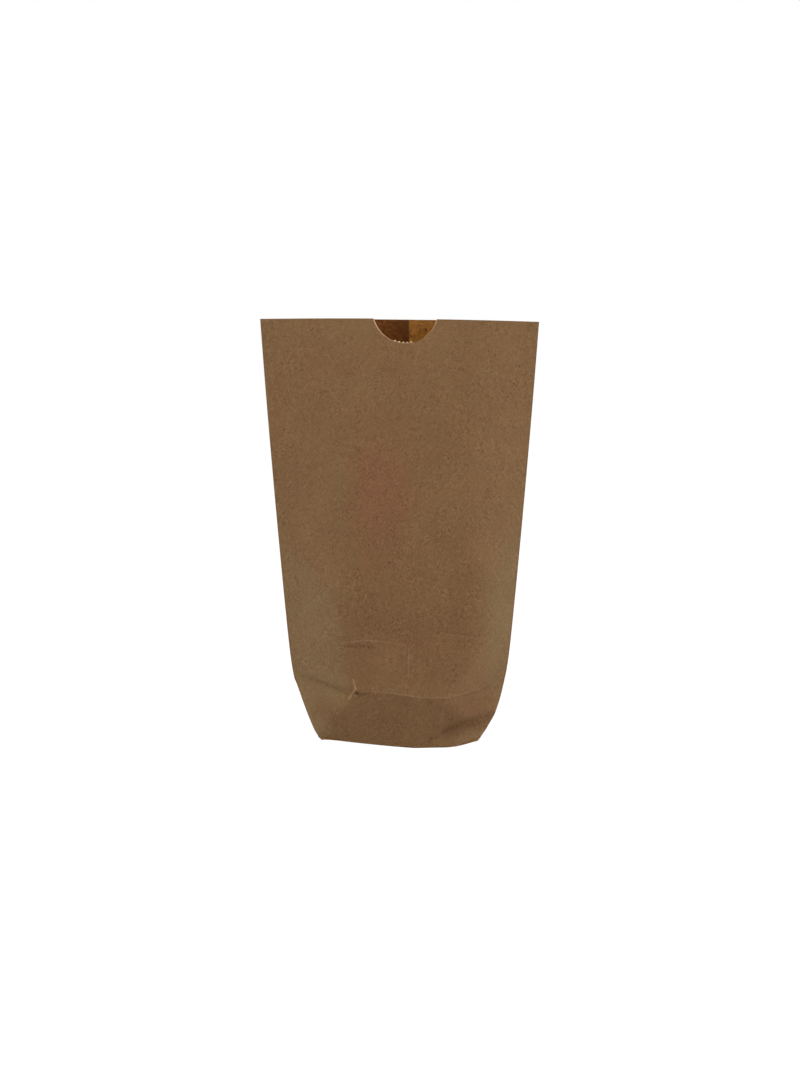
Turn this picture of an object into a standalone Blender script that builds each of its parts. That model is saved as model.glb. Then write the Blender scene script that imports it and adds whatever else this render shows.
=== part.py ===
"""A brown kraft paper lunch bag that stands open on its folded bottom.

The bag is one sheet of paper. The sheet is glued into a flat tube, with a lap seam down the back, and
the lower end of the tube is folded and glued into a cross bottom: two side tucks go in first, and the
back and front flaps close over them. A thumb notch is die cut in the front wall's rim.

The wall is a loft. At the bottom its section is a rectangle, at the height of the two side points it is
a hexagon, and at the rim it is a narrow lens. Paper doesn't stretch, so each section keeps the length
of the flat tube, and that length decides how deep the bag is at each height.

Lengths are in metres. X is the bag's width, -Y its front and Z is up.
"""

import bmesh
import bpy
import numpy as np

MM = 0.001

# The paper, and the flat bag as it comes off the stack
PAPER = 0.11 * MM
BAG_WIDTH = 150.0 * MM
BAG_HEIGHT = 226.0 * MM
BASE_DEPTH = 58.0 * MM
FLAP_OVERLAP = 16.0 * MM

# The glued lap seam: the inner ply ends this far right of the back wall's middle
SEAM_INNER_EDGE = 5.0 * MM
SEAM_OVERLAP = 15.0 * MM
SEAM_EDGE_RAMP = 0.3 * MM

# The thumb notch, with the marks of a toothed cutter along its lowest stretch
NOTCH_DIAMETER = 35.0 * MM
NOTCH_DEPTH = 12.4 * MM
NOTCH_OFFSET = 3.0 * MM
TOOTH_PITCH = 2.2 * MM
TOOTH_HEIGHT = 0.7 * MM
TOOTH_COUNT = 5
TEETH_OFFSET = -1.3 * MM

# How the bag stands once it has been opened
SIDE_LEAN = np.radians(28.5)
CORNER_SLACK = 2.0 * MM
MOUTH_PULL_IN = 0.5 * MM
SIDE_BELLY = 0.7 * MM
SHOULDER_ROUNDING = 1.2 * MM
SHOULDER_REACH = 8.0 * MM
SIDE_BULGES = (0.5 * MM, 1.9 * MM)
SIDE_BULGE_START = 30.0 * MM
SIDE_BULGE_REACH = 18.0 * MM
BASE_BULGE = 4.5 * MM

# The front's two ridges, as distances from the middle: at the crossways crease, at the imprint that the
# folded bottom left in the paper, and at the rim
RIDGES_AT_CREASE = (-24.4 * MM, 25.0 * MM)
RIDGES_AT_IMPRINT = (-31.5 * MM, 44.0 * MM)
RIDGES_AT_RIM = (-20.5 * MM, 36.0 * MM)
IMPRINT_SOFTNESS = 6.0 * MM
BACK_RIDGE = 34.0 * MM

# How softly the left, right and back ridges turn, at four heights up the paper
SOFTNESS_HEIGHTS = (0.0, BASE_DEPTH / 2, BASE_DEPTH, 2 * BASE_DEPTH)
LEFT_SOFTNESS = (9.0 * MM, 3.0 * MM, 5.0 * MM, 13.0 * MM)
RIGHT_SOFTNESS = (9.0 * MM, 4.0 * MM, 13.0 * MM, 13.0 * MM)
BACK_SOFTNESS = (5.0 * MM, 13.0 * MM, 13.0 * MM, 13.0 * MM)

# The crossways crease is higher on the left than on the right, and the back has a rounded bend there
CREASE_TILT = 1.7 * MM
CREASE_TILT_CENTRE = 2.0 * MM
CREASE_TILT_REACH = 9.0 * MM
CREASE_TILT_FADE = 0.3
CREASE_REACH = 40.0 * MM
BACK_BEND = 16.0 * MM
BACK_TURN = 0.27

# The rim's highest place is left of the middle
RIM_RISE = 1.7 * MM
RIM_TOP = -33.0 * MM
RIM_REACH = 103.0 * MM
RIM_DEPTH = 60.0 * MM

# The pushed in corner low on the right: a slanting valley line with a hollow over it
DENT_FOOT = (25.0 * MM, 4.4 * MM)
DENT_SLOPE = 0.53
DENT_START = 15.0 * MM
DENT_RUN_IN = 11.0 * MM
DENT_RUN_OUT = 12.0 * MM
FOLD_IN = 2.2 * MM
FOLD_IN_HEIGHT = 4.0 * MM
HOLLOW_START = 22.0 * MM
HOLLOW_SOFTNESS = 4.0 * MM
HOLLOW_SLOPE = 0.36
HOLLOW_DEEPEST = 5.8 * MM

# A low swelling from the left ridge's pinch towards the left corner
SWELLING_START = (-30.0 * MM, 24.0 * MM)
SWELLING_END = (-44.0 * MM, 15.0 * MM)
SWELLING_WIDTH = 6.0 * MM
SWELLING_HEIGHT = 1.2 * MM

# How the bottom stands: flat in the middle, with both ends and the front edge's left part lifted
END_LIFT = 4.6 * MM
FLAT_HALF_LENGTH = 24.0 * MM
EDGE_LIFT = 4.4 * MM
EDGE_LIFT_START = 8.0 * MM
EDGE_LIFT_DEPTH = 21.0 * MM

# The mesh
STRIP_ROWS = 11
CREASE_ROWS = 8
CREASE_ROWS_END = 65.0 * MM
UPPER_ROWS = 14
SHARP_FOLD = np.radians(50)
BASE_GRID = 9.0 * MM
ARC_STEP = np.radians(6)
WELD = 1e-6
TINY = 1e-9

# The columns between one key point of the section and the next, all the way round from the left side
# fold: left side, front left, front, front right, right side, then back right, the back panel with the
# seam's four lines, and back left
COLUMNS = (3, 9, 20, 14, 3, 3, 7, 6, 1, 2, 1, 6, 7, 3)
SOFT_KEYS = (2, 3, 7, 12)
FRONT_KEYS = (1, 4)
SEAM_KEYS = (8, 9, 10, 11)

KRAFT = (0.195, 0.107, 0.050, 1.0)
KRAFT_ROUGHNESS = 0.85

# What follows from the sizes above
half_depth = BASE_DEPTH / 2
base_half = (BAG_WIDTH - BASE_DEPTH) / 2 - CORNER_SLACK
rim_half = (BAG_WIDTH - MOUTH_PULL_IN) / 2
shoulder_half = base_half + half_depth * np.sin(SIDE_LEAN)
shoulder_height = END_LIFT + half_depth * np.cos(SIDE_LEAN)
side_fold_length = BAG_HEIGHT - half_depth
rim_height = shoulder_height + np.sqrt(side_fold_length**2 - (rim_half - shoulder_half) ** 2)
flap_depth = (BASE_DEPTH + FLAP_OVERLAP) / 2
tuck_edge = base_half - flap_depth
notch_radius = NOTCH_DIAMETER / 2


def clear_scene():
    for obj in list(bpy.data.objects):
        bpy.data.objects.remove(obj, do_unlink=True)
    for group in list(bpy.data.collections):
        bpy.data.collections.remove(group)


def collection(name):
    group = bpy.data.collections.new(name)
    bpy.context.scene.collection.children.link(group)
    return group


def ramp(distance, softness):
    """Zero before a crease and a metre per metre after it, joined by a parabola as long as the softness."""
    share = np.clip((distance + softness) / (2 * softness), 0, 1)
    return softness * share**2 + np.clip(distance - softness, 0, None)


def smooth(share):
    """Nothing below 0 and all of it above 1, with a cubic between that starts and ends level."""
    share = np.clip(share, 0, 1)
    return share * share * (3 - 2 * share)


def wall_depth(side, left, right, soft_left, soft_right):
    """How far a wall stands out from the side folds.

    The section runs from one side fold over two ridges to the other, and its length stays the flat
    bag's width. A soft ridge cuts its corner, by a sixth of its softness times the square of its turn,
    and the paper saved there lets the wall stand a little further out.
    """
    run_left, run_right, panel = side + left, side - right, right - left
    saved = 0.0
    for _ in range(4):
        slopes = BAG_WIDTH + saved - panel
        slope_left = (slopes + (run_left**2 - run_right**2) / slopes) / 2
        depth = np.sqrt(slope_left**2 - run_left**2)
        turn_left, turn_right = np.arctan2(depth, run_left), np.arctan2(depth, run_right)
        saved = (soft_left * turn_left**2 + soft_right * turn_right**2) / 6
    return depth


def softness_at(up_paper):
    """The softness of the soft keys at heights up the paper, one column for each of them."""
    values = (LEFT_SOFTNESS, RIGHT_SOFTNESS, BACK_SOFTNESS, BACK_SOFTNESS)
    return np.stack([np.interp(up_paper, SOFTNESS_HEIGHTS, each) for each in values], axis=1)


def front_ridge(side, up_paper):
    """A front ridge's distance from the middle: it spreads up to the imprint, then drifts to the rim."""
    spreading = (RIDGES_AT_IMPRINT[side] - RIDGES_AT_CREASE[side]) / half_depth
    drifting = (RIDGES_AT_RIM[side] - RIDGES_AT_IMPRINT[side]) / (BAG_HEIGHT - BASE_DEPTH)
    turned = (drifting - spreading) * ramp(up_paper - BASE_DEPTH, IMPRINT_SOFTNESS)
    return RIDGES_AT_CREASE[side] + spreading * (up_paper - half_depth) + turned


def point(x, y, z):
    return np.stack(np.broadcast_arrays(x, y, z), axis=-1)


def between(a, b, share):
    return a + (b - a) * share


def seam_lines():
    """The seam's lines across the back wall: an edge and the foot of its ramp at either side."""
    outer_edge = SEAM_INNER_EDGE - SEAM_OVERLAP
    return (
        SEAM_INNER_EDGE,
        SEAM_INNER_EDGE - SEAM_EDGE_RAMP,
        outer_edge + SEAM_EDGE_RAMP,
        outer_edge,
    )


def wall_keys(up_paper):
    """The key points of the sections at heights up the paper, from the side points to the rim."""
    up = (up_paper - half_depth) / side_fold_length
    height = between(shoulder_height, rim_height, up)
    above = height - shoulder_height
    side = between(shoulder_half, rim_half, up) + SIDE_BELLY * 4 * up * (1 - up)
    side = side + SHOULDER_ROUNDING * (1 - np.exp(-above / SHOULDER_REACH)) * (1 - up)
    ridge_left, ridge_right = front_ridge(0, up_paper), front_ridge(1, up_paper)
    soft = softness_at(up_paper).T
    front = wall_depth(side, ridge_left, ridge_right, soft[0], soft[1])
    back = wall_depth(side, -BACK_RIDGE, BACK_RIDGE, soft[2], soft[3])
    left_fold = point(-side, 0, height)
    right_fold = point(side, 0, height)
    keys = [
        left_fold,
        left_fold,
        point(ridge_left, -front, height),
        point(ridge_right, -front, height),
        right_fold,
        right_fold,
        right_fold,
        point(BACK_RIDGE, back, height),
        *[point(x, back, height) for x in seam_lines()],
        point(-BACK_RIDGE, back, height),
        left_fold,
    ]
    return np.stack(keys, axis=1)


def strip_keys(up_paper):
    """The key points of the sections from the bottom fold to the side points.

    Each crease is straight from its key point at the side points' height to its end at the bottom
    fold. The four 45 degree creases spread from the side points to the corners, and the ridges close
    in on the same corners.
    """
    front_left, front_right = (-base_half, -half_depth, 0), (base_half, -half_depth, 0)
    back_left, back_right = (-base_half, half_depth, 0), (base_half, half_depth, 0)
    foot = [
        (-base_half, 0, 0),
        front_left,
        front_left,
        front_right,
        front_right,
        (base_half, 0, 0),
        back_right,
        back_right,
        *[(x, half_depth, 0) for x in seam_lines()],
        back_left,
        back_left,
    ]
    top = wall_keys(np.array([half_depth]))
    return between(np.array(foot)[None], top, (up_paper / half_depth)[:, None, None])


def sections(keys, softness):
    """Points round each section: straight between the keys, with a parabola over each soft ridge."""
    facet = np.repeat(np.arange(len(COLUMNS)), COLUMNS)
    following = (facet + 1) % len(COLUMNS)
    share = np.concatenate([np.arange(count) / count for count in COLUMNS])[None]
    edge = np.roll(keys, -1, axis=1) - keys
    length = np.linalg.norm(edge, axis=2)
    direction = edge / np.maximum(length, TINY)[..., None]
    turn = direction - np.roll(direction, 1, axis=1)
    soft = np.zeros_like(length)
    soft[:, SOFT_KEYS] = softness
    soft = np.minimum(soft, np.minimum(length, np.roll(length, 1, axis=1)))

    def rounding(key, distance):
        inside = np.clip(soft[:, key] - distance, 0, None)
        return turn[:, key] * (inside**2 / (4 * np.maximum(soft[:, key], TINY)))[..., None]

    points = keys[:, facet] + edge[:, facet] * share[..., None]
    points += rounding(facet, share * length[:, facet])
    points += rounding(following, (1 - share) * length[:, facet])
    return points


def dent(x, z):
    """How far the front wall is pushed in by its dented corner.

    Over the valley line the wall goes on as steeply as it came from the crossways crease, so it is
    hollow compared with a straight facet, and just over the line it folds in further. Under the line a
    flat facet comes back out to the bottom's edge. The dent runs out before the side point.
    """
    line_height = np.maximum(DENT_FOOT[1] + DENT_SLOPE * (x - DENT_FOOT[0]), PAPER)
    hollow = np.minimum(HOLLOW_SLOPE * ramp(x - HOLLOW_START, HOLLOW_SOFTNESS), HOLLOW_DEEPEST)
    fold_in = FOLD_IN * smooth((x - DENT_START) / DENT_RUN_IN)
    on_line = np.maximum(z, line_height)
    over = hollow * np.clip(1 - on_line / shoulder_height, 0, 1)
    over = over + fold_in * np.exp(-(((on_line - line_height) / FOLD_IN_HEIGHT) ** 2))
    return over * smooth(z / line_height) * smooth((shoulder_half - x) / DENT_RUN_OUT)


def swelling(x, z):
    """How far the front wall stands out along the low swelling: a bell curve of the distance to it.

    It runs out above the bottom fold, which stays where the rectangle has it.
    """
    start, end = np.array(SWELLING_START), np.array(SWELLING_END)
    along = end - start
    share = ((x - start[0]) * along[0] + (z - start[1]) * along[1]) / (along @ along)
    near = np.clip(share, 0, 1)
    away = np.hypot(x - start[0] - near * along[0], z - start[1] - near * along[1])
    return SWELLING_HEIGHT * np.exp(-((away / SWELLING_WIDTH) ** 2)) * smooth(z / SWELLING_WIDTH)


def front_shift(x, z, up_paper):
    """How far the front wall's points move back and up: crease tilt, dented corner and swelling."""
    opened = np.clip(up_paper / half_depth, 0, 1)
    reach = np.clip(1 - (up_paper - half_depth) / CREASE_REACH, 0, 1)
    nearness = np.clip(1 - abs(x) / shoulder_half, 0, 1) ** CREASE_TILT_FADE
    tilt = CREASE_TILT * nearness * np.tanh((CREASE_TILT_CENTRE - x) / CREASE_TILT_REACH)
    return point(0, dent(x, z) - swelling(x, z), tilt * np.minimum(opened, reach))


def bag_wall():
    """Rows of points from the bottom fold to the rim, and how many plies the paper has at each."""
    strip = np.linspace(0, half_depth, STRIP_ROWS, endpoint=False)
    near_crease = np.linspace(half_depth, CREASE_ROWS_END, CREASE_ROWS, endpoint=False)
    above = np.concatenate([near_crease, np.linspace(CREASE_ROWS_END, BAG_HEIGHT, UPPER_ROWS)])
    up_paper = np.concatenate([strip, above])
    opened = np.clip(up_paper / half_depth, 0, 1)
    keys = np.concatenate([strip_keys(strip), wall_keys(above)])

    # Left of the seam the wall is the inner ply, so there it lies one ply further in.
    keys[:, SEAM_KEYS[-1], 1] -= PAPER * opened
    points = sections(keys, softness_at(up_paper))
    starts = np.cumsum((0,) + COLUMNS)
    first, last = (starts[key] for key in FRONT_KEYS)

    # The front's own shifts. The side triangles follow them, less and less towards their middles.
    front = points[:, first : last + 1]
    shift = np.zeros_like(points)
    shift[:, first : last + 1] = front_shift(front[..., 0], front[..., 2], up_paper[:, None])
    follow = np.arange(first) / first
    shift[:, :first] = shift[:, first : first + 1] * follow[None, :, None]
    shift[:, last + 1 : last + first] = shift[:, last : last + 1] * follow[None, :0:-1, None]
    points += shift

    x, y, z = np.moveaxis(points, -1, 0)
    bulge = BASE_BULGE * np.clip(1 - (x / base_half) ** 2, 0, 1) * (1 - opened)[:, None]
    bend = np.clip(BACK_BEND - abs(up_paper - half_depth), 0, None)[:, None] ** 2 / (4 * BACK_BEND)
    bend = BACK_TURN * bend * np.clip(1 - (x / shoulder_half) ** 2, 0, 1)
    y += np.sign(y) * bulge - np.where(y > 0, bend, 0)
    side_bulge = np.where(x < 0, -SIDE_BULGES[0], SIDE_BULGES[1])
    side_bulge = side_bulge * smooth((abs(x) - SIDE_BULGE_START) / SIDE_BULGE_REACH)
    x += side_bulge * np.sin(np.pi * np.clip(z / shoulder_height, 0, 1))
    rise = RIM_RISE * (1 - ((x - RIM_TOP) / RIM_REACH) ** 2)
    z += rise * np.clip(1 - (BAG_HEIGHT - up_paper[:, None]) / RIM_DEPTH, 0, 1) ** 2

    plies = np.ones(points.shape[:2])
    plies[:, starts[SEAM_KEYS[1]] : starts[SEAM_KEYS[2]] + 1] += opened[:, None]
    return points, plies


def loft(bm, rows):
    """Joins rows of verts, each row a closed ring, into a tube of quads that face out."""
    for low, high in zip(rows[:-1], rows[1:]):
        ring = zip(low, low[1:] + low[:1], high[1:] + high[:1], high)
        for corners in ring:
            bm.faces.new(corners)


def cut_bottom(bm):
    """Cuts the bottom along the outlines of its flaps and tucks, and along a grid that lets it bend.

    The grid's lines meet the columns of the side triangles at both ends, so that no face has three
    corners in one straight line.
    """

    def cut(through, normal):
        faces = [f for f in bm.faces if all(abs(v.co.z) < WELD for v in f.verts)]
        parts = {*faces, *(e for f in faces for e in f.edges), *(v for f in faces for v in f.verts)}
        bmesh.ops.bisect_plane(bm, geom=list(parts), dist=WELD, plane_co=through, plane_no=normal)

    along = [tuck_edge, *np.arange(tuck_edge, base_half, BASE_GRID)[1:-1]]
    across = [FLAP_OVERLAP / 2, *np.linspace(0, half_depth, COLUMNS[0], endpoint=False)]
    for side in (-1, 1):
        for end in (-1, 1):
            cut((side * base_half, end * half_depth, 0), (side, -end, 0))
        for at in along:
            cut((side * at, 0, 0), (1, 0, 0))
        for at in across:
            cut((0, side * at, 0), (0, 1, 0))


def bag_skin():
    """The outer skin as a mesh: the wall's loft and the bottom, open at the rim.

    Each vert's weight in its first vertex group is its number of plies, as a share of two.
    """
    points, plies = bag_wall()
    bm = bmesh.new()
    deform = bm.verts.layers.deform.verify()
    rows = []
    for row_points, row_plies in zip(points, plies):
        row = [bm.verts.new(place) for place in row_points]
        for vert, count in zip(row, row_plies):
            vert[deform][0] = count / 2
        rows.append(row)
    loft(bm, rows)
    bmesh.ops.remove_doubles(bm, verts=bm.verts, dist=WELD)
    ring = [vert for vert in rows[0] if vert.is_valid]
    bm.faces.new(reversed(ring))
    cut_bottom(bm)
    bmesh.ops.triangulate(bm, faces=bm.faces, quad_method="FIXED")
    mesh = bpy.data.meshes.new("skin")
    bm.to_mesh(mesh)
    bm.free()
    return mesh


def thickened(skin):
    """The skin given its paper's thickness, inwards, with two plies where the seam laps."""
    obj = bpy.data.objects.new("skin", skin)
    bpy.context.scene.collection.objects.link(obj)
    group = obj.vertex_groups.new(name="plies")
    solidify = obj.modifiers.new("paper", "SOLIDIFY")
    solidify.thickness = 2 * PAPER
    solidify.offset = -1
    solidify.use_even_offset = True
    solidify.use_quality_normals = True
    solidify.vertex_group = group.name
    evaluated = obj.evaluated_get(bpy.context.evaluated_depsgraph_get())
    mesh = bpy.data.meshes.new_from_object(evaluated)
    bpy.data.objects.remove(obj, do_unlink=True)
    return mesh


def in_front_flap(x, y):
    """Whether a point of the bottom is under the front flap, whose ends are cut at 45 degrees."""
    return y < FLAP_OVERLAP / 2 and abs(x) < base_half - (y + half_depth)


def in_back_flap(x, y):
    return abs(x) < base_half - (half_depth - y)


def add_flaps(bm):
    """Steps the bottom by one ply at each flap and tuck, from the outside and from the inside.

    The skin's bottom is the ply of the side tucks. Outside, the back flap closes over them and the
    front flap over both. Inside, the tucks end short of the middle and leave the flaps bare.
    """
    bm.faces.ensure_lookup_table()

    def step_down(level, facing, chosen):
        """Moves the chosen faces down one ply, with walls between them and those that stay."""
        moved = []
        for face in bm.faces:
            centre = face.calc_center_median()
            flat = all(abs(vert.co.z - level) < PAPER / 3 for vert in face.verts)
            if flat and face.normal.z * facing > 0 and chosen(centre.x, centre.y):
                moved.append(face)
        made = bmesh.ops.extrude_face_region(bm, geom=moved)
        verts = [part for part in made["geom"] if isinstance(part, bmesh.types.BMVert)]
        bmesh.ops.translate(bm, verts=verts, vec=(0, 0, -PAPER))
        bmesh.ops.delete(bm, geom=[f for f in moved if f.is_valid], context="FACES")
        bm.normal_update()

    step_down(0, -1, lambda x, y: in_front_flap(x, y) or in_back_flap(x, y))
    step_down(-PAPER, -1, in_front_flap)
    step_down(PAPER, 1, lambda x, y: abs(x) < tuck_edge)
    step_down(0, 1, lambda x, y: abs(x) < tuck_edge and y < -FLAP_OVERLAP / 2)


def bottom_lift(x, y):
    """How far the bottom is off the table: its ends curl up, and the front edge rises to the left."""
    past_flat = (abs(x) - FLAT_HALF_LENGTH) / (base_half - FLAT_HALF_LENGTH)
    ends = END_LIFT * np.clip(past_flat, 0, 1) ** 2
    along = np.clip((EDGE_LIFT_START - x) / (EDGE_LIFT_START + base_half), 0, 1)
    across = np.clip((EDGE_LIFT_DEPTH - half_depth - y) / EDGE_LIFT_DEPTH, 0, 1)
    return max(ends, EDGE_LIFT * along * across)


def stand(bm):
    """Bends the bottom up where it is off the table, and sets the bag down over the origin."""
    deep = [vert.co.y for vert in bm.verts]
    middle = (min(deep) + max(deep)) / 2
    for vert in bm.verts:
        x, y, z = vert.co
        lift = bottom_lift(x, y) * np.clip(1 - z / shoulder_height, 0, 1)
        vert.co = (x, y - middle, z + lift + 2 * PAPER)


def notch_outline():
    """The notch's lower half circle, round the origin, with the cutter's teeth along the bottom."""
    first = (TEETH_OFFSET - TOOTH_COUNT * TOOTH_PITCH / 2) / notch_radius
    turns = [(angle, notch_radius) for angle in np.arange(-np.pi / 2, first, ARC_STEP)]
    half_tooth = TOOTH_PITCH / 2 / notch_radius
    for half in range(2 * TOOTH_COUNT + 1):
        turns.append((first + half * half_tooth, notch_radius - TOOTH_HEIGHT * (half % 2)))
    last = turns[-1][0]
    turns += [(-angle, notch_radius) for angle in np.arange(-np.pi / 2, -last, ARC_STEP)[::-1]]
    return [(radius * np.sin(angle), -radius * np.cos(angle)) for angle, radius in turns]


def notch_cutter(cutters):
    """A disc sector as thick as the front half of the bag, which leaves the back wall whole."""
    outline = notch_outline()
    curve = bpy.data.curves.new("notch outline", "CURVE")
    curve.dimensions = "2D"
    curve.fill_mode = "BOTH"
    curve.extrude = half_depth / 2
    spline = curve.splines.new("POLY")
    spline.points.add(len(outline) - 1)
    for spot, (across, along) in zip(spline.points, outline):
        spot.co = (across, along, 0, 1)
    spline.use_cyclic_u = True
    flat = bpy.data.objects.new("notch outline", curve)
    cutters.objects.link(flat)
    flat.rotation_euler = (np.pi / 2, 0, 0)
    rim = rim_height + RIM_RISE * (1 - ((NOTCH_OFFSET - RIM_TOP) / RIM_REACH) ** 2) + 2 * PAPER
    flat.location = (NOTCH_OFFSET, -half_depth / 2, rim - NOTCH_DEPTH + notch_radius)
    depsgraph = bpy.context.evaluated_depsgraph_get()
    mesh = bpy.data.meshes.new_from_object(flat.evaluated_get(depsgraph))
    bm = bmesh.new()
    bm.from_mesh(mesh)
    bmesh.ops.remove_doubles(bm, verts=bm.verts, dist=WELD)
    bmesh.ops.recalc_face_normals(bm, faces=bm.faces)
    bm.to_mesh(mesh)
    bm.free()
    cutter = bpy.data.objects.new("notch cutter", mesh)
    cutters.objects.link(cutter)
    cutter.matrix_world = flat.matrix_world
    bpy.data.objects.remove(flat, do_unlink=True)
    cutter.hide_render = True
    cutter.display_type = "WIRE"
    return cutter


def kraft_paper():
    material = bpy.data.materials.new("kraft paper")
    material.use_nodes = True
    shader = material.node_tree.nodes["Principled BSDF"]
    shader.inputs["Base Color"].default_value = KRAFT
    shader.inputs["Roughness"].default_value = KRAFT_ROUGHNESS
    shader.inputs["Metallic"].default_value = 0.0
    return material


def build_bag(parts, cutters):
    mesh = thickened(bag_skin())
    mesh.name = "bag"
    bm = bmesh.new()
    bm.from_mesh(mesh)
    add_flaps(bm)
    stand(bm)
    bm.to_mesh(mesh)
    bm.free()
    bag = bpy.data.objects.new("bag", mesh)
    parts.objects.link(bag)
    mesh.materials.clear()
    mesh.materials.append(kraft_paper())
    mesh.shade_smooth()
    mesh.set_sharp_from_angle(angle=SHARP_FOLD)
    notch = bag.modifiers.new("thumb notch", "BOOLEAN")
    notch.operation = "DIFFERENCE"
    notch.solver = "EXACT"
    notch.object = notch_cutter(cutters)
    return bag


def main():
    clear_scene()
    build_bag(collection("paper bag"), collection("cutters"))


main()
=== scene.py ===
# %% [markdown]
# # A brown paper lunch bag
#
# The real bag is one sheet of kraft paper. A machine glues it into a flat tube, folds and glues one end
# of the tube into a cross bottom, and die cuts a thumb notch in the front rim. Someone then opened it
# and stood it up. This lesson follows the same order: everything is first placed on the flat sheet, in
# distances across and up the paper, and one function then folds the sheet into the standing bag.

import bpy
import numpy as np
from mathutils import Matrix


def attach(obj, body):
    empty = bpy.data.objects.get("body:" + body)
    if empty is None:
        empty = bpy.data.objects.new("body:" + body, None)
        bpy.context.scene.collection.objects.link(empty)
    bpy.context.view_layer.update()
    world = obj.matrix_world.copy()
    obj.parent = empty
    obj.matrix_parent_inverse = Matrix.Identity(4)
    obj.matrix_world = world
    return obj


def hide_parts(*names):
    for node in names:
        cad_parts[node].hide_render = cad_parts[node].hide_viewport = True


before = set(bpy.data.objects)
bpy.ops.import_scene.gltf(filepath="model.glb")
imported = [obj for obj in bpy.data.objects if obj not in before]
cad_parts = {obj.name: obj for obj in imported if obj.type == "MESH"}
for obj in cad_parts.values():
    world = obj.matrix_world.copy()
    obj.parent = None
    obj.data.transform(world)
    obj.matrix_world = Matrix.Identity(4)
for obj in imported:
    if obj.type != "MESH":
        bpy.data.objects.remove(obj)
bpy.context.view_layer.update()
MM = 0.001


def in_mm(length):
    """A length in millimetres, to a tenth, for the printed lines."""
    return round(float(length) / MM, 1)


# %% [markdown]
# ## The camera
#
# The photograph was taken at about the height of the rim, looking slightly down. The height, distance
# and tilt below put the rim's corners, the two side points and the bottom corners on the places where
# the photograph has them. The focal length is known in pixels. Blender lays the sensor's width along
# the picture's long side, so the lens is the same share of it as the focal pixels are of that side.

# %% Set up the camera
PHOTO_LONG_SIDE = 1067
FOCAL_PIXELS = 1611
SENSOR_WIDTH = 36
CAMERA_PLACE = (0.2 * MM, -871.2 * MM, 228.1 * MM)
DEGREES_DOWN = 7.61
NEAREST_SEEN = 10 * MM

camera_data = bpy.data.cameras.new("camera")
camera_data.sensor_width = SENSOR_WIDTH
camera_data.lens = camera_data.sensor_width * FOCAL_PIXELS / PHOTO_LONG_SIDE
camera_data.clip_start = NEAREST_SEEN
camera = bpy.data.objects.new("camera", camera_data)
camera.location = CAMERA_PLACE
camera.rotation_euler = (np.radians(90 - DEGREES_DOWN), 0, 0)
bpy.context.scene.collection.objects.link(camera)
bpy.context.scene.camera = camera
print("the lens is", round(camera_data.lens, 2), "mm")

# %% [markdown]
# ## The flat sheet
#
# Paper doesn't stretch, so the sizes of the flat bag settle almost everything: the wall is 150 mm wide
# at every height, and the bottom is folded from its lowest stretch. A place on the sheet is given by
# two numbers: how far it is across a wall, as a share from the left side fold to the right one, and
# how far up it is from the bottom fold, in metres.

# %% The sheet's sizes
PAPER = 0.11 * MM
BAG_WIDTH = 150 * MM
BAG_HEIGHT = 226 * MM
BASE_DEPTH = 58 * MM
FLAP_OVERLAP = 16 * MM
SEAM_INNER_EDGE = 5 * MM
SEAM_OVERLAP = 20 * MM

half_depth = BASE_DEPTH / 2
flap_depth = (BASE_DEPTH + FLAP_OVERLAP) / 2
print("the tube was cut from a sheet", in_mm(2 * BAG_WIDTH + SEAM_OVERLAP), "mm wide")

# %% [markdown]
# ## How the opened bag stands
#
# The bottom is a rectangle. Its sides lean out to two points at half the bottom's depth up the paper,
# where the 45 degree creases meet the side folds. From there the two walls close in on each other, to
# a mouth that is open by only a centimetre. The values below say how far each of these has moved.

# %% The standing bag's sizes
SIDE_LEAN = np.radians(28.5)
CORNER_SLACK = 2 * MM
MOUTH_PULL_IN = 0.5 * MM
SIDE_BELLY = 0.7 * MM
SHOULDER_ROUNDING = 1.2 * MM
SHOULDER_REACH = 8 * MM
END_LIFT = 4.6 * MM
FOLD_RADIUS = 0.17 * MM

base_half = (BAG_WIDTH - BASE_DEPTH) / 2 - CORNER_SLACK
rim_half = (BAG_WIDTH - MOUTH_PULL_IN) / 2
shoulder_half = base_half + half_depth * np.sin(SIDE_LEAN)
shoulder_height = END_LIFT + half_depth * np.cos(SIDE_LEAN)
side_fold_length = BAG_HEIGHT - half_depth
side_spread = rim_half - shoulder_half
rim_height = shoulder_height + np.sqrt(side_fold_length**2 - side_spread**2)
print("side points at", in_mm(shoulder_height), "mm, rim at", in_mm(rim_height), "mm")

# %% [markdown]
# ## One formula for every fold
#
# Seen from above, each wall is a line that runs straight, turns at a ridge, and runs straight again.
# A crease that was pressed flat turns at once, and a ridge that only formed as the bag opened turns
# over a centimetre. Both are the same path: walk from key point to key point, and at each of them
# change direction over a softness that can be as small as you like. Blender's Bevel could round such
# corners too, but then nothing would say where on the sheet a point came from.


# %% Walk along a folded line
def capped(share):
    """A share kept between nothing and all."""
    return np.clip(share, 0, 1)


def ramp(distance, softness):
    """Zero before a crease and a metre per metre after it, joined by a parabola as long as the softness."""
    share = capped((distance + softness) / (2 * softness))
    return softness * share**2 + np.clip(distance - softness, 0, None)


def between(a, b, share):
    return a + (b - a) * share


def point(x, y, z):
    return np.stack(np.broadcast_arrays(x, y, z), axis=-1)


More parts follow.
